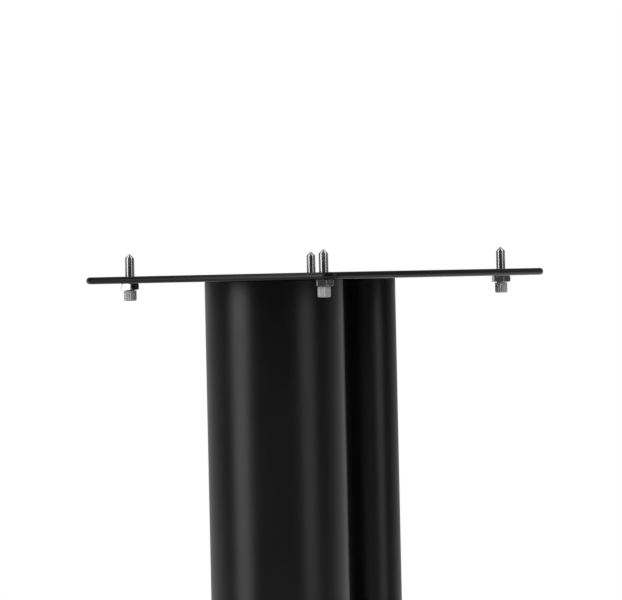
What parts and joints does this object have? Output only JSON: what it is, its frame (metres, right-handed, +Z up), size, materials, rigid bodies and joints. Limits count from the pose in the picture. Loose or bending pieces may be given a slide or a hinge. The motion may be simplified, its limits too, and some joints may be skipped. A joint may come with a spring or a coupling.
{
  "type": "speaker stand",
  "caption": "Steel speaker stand: a flat top plate with upward spikes, on a wide and a slim round column over a base plate with floor spikes.",
  "frame": {"origin": "on the floor, under the middle of the base plate and of the top plate", "axes": "+Z up, front towards -Y, +X to the right as seen from the front"},
  "size_m": [0.26, 0.32, 0.6246],
  "materials": {
    "plate_coat": "satin black powder coat",
    "column_coat": "satin black powder coat",
    "bare_steel": "plain welded steel, hidden",
    "black_screw": "black oxide",
    "spike_steel": "bright nickel-plated steel",
    "nut_zinc": "bright zinc-plated steel",
    "grip_steel": "dull knurled steel"
  },
  "bodies": {
    "stand": {"top_plate": "plate_coat", "base_plate": "plate_coat", "front_column": "column_coat", "front_column_end_discs": "bare_steel", "rear_column": "column_coat", "rear_column_end_discs": "bare_steel", "plate_screws": "black_screw"},
    "top_spike_front_left": {"top_spike_front_left": "spike_steel"},
    "top_grip_front_left": {"top_grip_front_left": "grip_steel"},
    "top_nut_front_left": {"top_nut_front_left": "nut_zinc"},
    "top_spike_front_right": {"top_spike_front_right": "spike_steel"},
    "top_grip_front_right": {"top_grip_front_right": "grip_steel"},
    "top_nut_front_right": {"top_nut_front_right": "nut_zinc"},
    "top_spike_rear_left": {"top_spike_rear_left": "spike_steel"},
    "top_grip_rear_left": {"top_grip_rear_left": "grip_steel"},
    "top_nut_rear_left": {"top_nut_rear_left": "nut_zinc"},
    "top_spike_rear_right": {"top_spike_rear_right": "spike_steel"},
    "top_grip_rear_right": {"top_grip_rear_right": "grip_steel"},
    "top_nut_rear_right": {"top_nut_rear_right": "nut_zinc"},
    "floor_spike_front_left": {"floor_spike_front_left": "spike_steel"},
    "floor_grip_front_left": {"floor_grip_front_left": "grip_steel"},
    "floor_nut_front_left": {"floor_nut_front_left": "nut_zinc"},
    "floor_spike_front_right": {"floor_spike_front_right": "spike_steel"},
    "floor_grip_front_right": {"floor_grip_front_right": "grip_steel"},
    "floor_nut_front_right": {"floor_nut_front_right": "nut_zinc"},
    "floor_spike_rear_left": {"floor_spike_rear_left": "spike_steel"},
    "floor_grip_rear_left": {"floor_grip_rear_left": "grip_steel"},
    "floor_nut_rear_left": {"floor_nut_rear_left": "nut_zinc"},
    "floor_spike_rear_right": {"floor_spike_rear_right": "spike_steel"},
    "floor_grip_rear_right": {"floor_grip_rear_right": "grip_steel"},
    "floor_nut_rear_right": {"floor_nut_rear_right": "nut_zinc"}
  },
  "joints": [
    {"name": "top_spike_front_left_travel", "type": "slide", "parent": "stand", "child": "top_spike_front_left", "axis": [0, 0, 1], "range_m": [-0.01, 0]},
    {"name": "top_grip_front_left_turn", "type": "hinge", "parent": "top_spike_front_left", "child": "top_grip_front_left", "pos_m": [-0.0775, -0.0975, 0], "axis": [0, 0, 1], "range_deg": [-3600, 0]},
    {"name": "top_nut_front_left_turn", "type": "hinge", "parent": "stand", "child": "top_nut_front_left", "pos_m": [-0.0775, -0.0975, 0], "axis": [0, 0, 1], "continuous": true},
    {"name": "top_spike_front_right_travel", "type": "slide", "parent": "stand", "child": "top_spike_front_right", "axis": [0, 0, 1], "range_m": [-0.01, 0]},
    {"name": "top_grip_front_right_turn", "type": "hinge", "parent": "top_spike_front_right", "child": "top_grip_front_right", "pos_m": [0.0775, -0.0975, 0], "axis": [0, 0, 1], "range_deg": [-3600, 0]},
    {"name": "top_nut_front_right_turn", "type": "hinge", "parent": "stand", "child": "top_nut_front_right", "pos_m": [0.0775, -0.0975, 0], "axis": [0, 0, 1], "continuous": true},
    {"name": "top_spike_rear_left_travel", "type": "slide", "parent": "stand", "child": "top_spike_rear_left", "axis": [0, 0, 1], "range_m": [-0.01, 0]},
    {"name": "top_grip_rear_left_turn", "type": "hinge", "parent": "top_spike_rear_left", "child": "top_grip_rear_left", "pos_m": [-0.0775, 0.0975, 0], "axis": [0, 0, 1], "range_deg": [-3600, 0]},
    {"name": "top_nut_rear_left_turn", "type": "hinge", "parent": "stand", "child": "top_nut_rear_left", "pos_m": [-0.0775, 0.0975, 0], "axis": [0, 0, 1], "continuous": true},
    {"name": "top_spike_rear_right_travel", "type": "slide", "parent": "stand", "child": "top_spike_rear_right", "axis": [0, 0, 1], "range_m": [-0.01, 0]},
    {"name": "top_grip_rear_right_turn", "type": "hinge", "parent": "top_spike_rear_right", "child": "top_grip_rear_right", "pos_m": [0.0775, 0.0975, 0], "axis": [0, 0, 1], "range_deg": [-3600, 0]},
    {"name": "top_nut_rear_right_turn", "type": "hinge", "parent": "stand", "child": "top_nut_rear_right", "pos_m": [0.0775, 0.0975, 0], "axis": [0, 0, 1], "continuous": true},
    {"name": "floor_spike_front_left_travel", "type": "slide", "parent": "stand", "child": "floor_spike_front_left", "axis": [0, 0, 1], "range_m": [-0.008, 0]},
    {"name": "floor_grip_front_left_turn", "type": "hinge", "parent": "floor_spike_front_left", "child": "floor_grip_front_left", "pos_m": [-0.106, -0.136, 0], "axis": [0, 0, 1], "range_deg": [-2304, 0]},
    {"name": "floor_nut_front_left_turn", "type": "hinge", "parent": "stand", "child": "floor_nut_front_left", "pos_m": [-0.106, -0.136, 0], "axis": [0, 0, 1], "continuous": true},
    {"name": "floor_spike_front_right_travel", "type": "slide", "parent": "stand", "child": "floor_spike_front_right", "axis": [0, 0, 1], "range_m": [-0.008, 0]},
    {"name": "floor_grip_front_right_turn", "type": "hinge", "parent": "floor_spike_front_right", "child": "floor_grip_front_right", "pos_m": [0.106, -0.136, 0], "axis": [0, 0, 1], "range_deg": [-2304, 0]},
    {"name": "floor_nut_front_right_turn", "type": "hinge", "parent": "stand", "child": "floor_nut_front_right", "pos_m": [0.106, -0.136, 0], "axis": [0, 0, 1], "continuous": true},
    {"name": "floor_spike_rear_left_travel", "type": "slide", "parent": "stand", "child": "floor_spike_rear_left", "axis": [0, 0, 1], "range_m": [-0.008, 0]},
    {"name": "floor_grip_rear_left_turn", "type": "hinge", "parent": "floor_spike_rear_left", "child": "floor_grip_rear_left", "pos_m": [-0.106, 0.136, 0], "axis": [0, 0, 1], "range_deg": [-2304, 0]},
    {"name": "floor_nut_rear_left_turn", "type": "hinge", "parent": "stand", "child": "floor_nut_rear_left", "pos_m": [-0.106, 0.136, 0], "axis": [0, 0, 1], "continuous": true},
    {"name": "floor_spike_rear_right_travel", "type": "slide", "parent": "stand", "child": "floor_spike_rear_right", "axis": [0, 0, 1], "range_m": [-0.008, 0]},
    {"name": "floor_grip_rear_right_turn", "type": "hinge", "parent": "floor_spike_rear_right", "child": "floor_grip_rear_right", "pos_m": [0.106, 0.136, 0], "axis": [0, 0, 1], "range_deg": [-2304, 0]},
    {"name": "floor_nut_rear_right_turn", "type": "hinge", "parent": "stand", "child": "floor_nut_rear_right", "pos_m": [0.106, 0.136, 0], "axis": [0, 0, 1], "continuous": true}
  ],
  "couplings": [
    {"joint": "top_grip_front_left_turn", "follows": "top_spike_front_left_travel", "rad_per_m": 6283.2},
    {"joint": "top_grip_front_right_turn", "follows": "top_spike_front_right_travel", "rad_per_m": 6283.2},
    {"joint": "top_grip_rear_left_turn", "follows": "top_spike_rear_left_travel", "rad_per_m": 6283.2},
    {"joint": "top_grip_rear_right_turn", "follows": "top_spike_rear_right_travel", "rad_per_m": 6283.2},
    {"joint": "floor_grip_front_left_turn", "follows": "floor_spike_front_left_travel", "rad_per_m": 5026.5},
    {"joint": "floor_grip_front_right_turn", "follows": "floor_spike_front_right_travel", "rad_per_m": 5026.5},
    {"joint": "floor_grip_rear_left_turn", "follows": "floor_spike_rear_left_travel", "rad_per_m": 5026.5},
    {"joint": "floor_grip_rear_right_turn", "follows": "floor_spike_rear_right_travel", "rad_per_m": 5026.5}
  ]
}
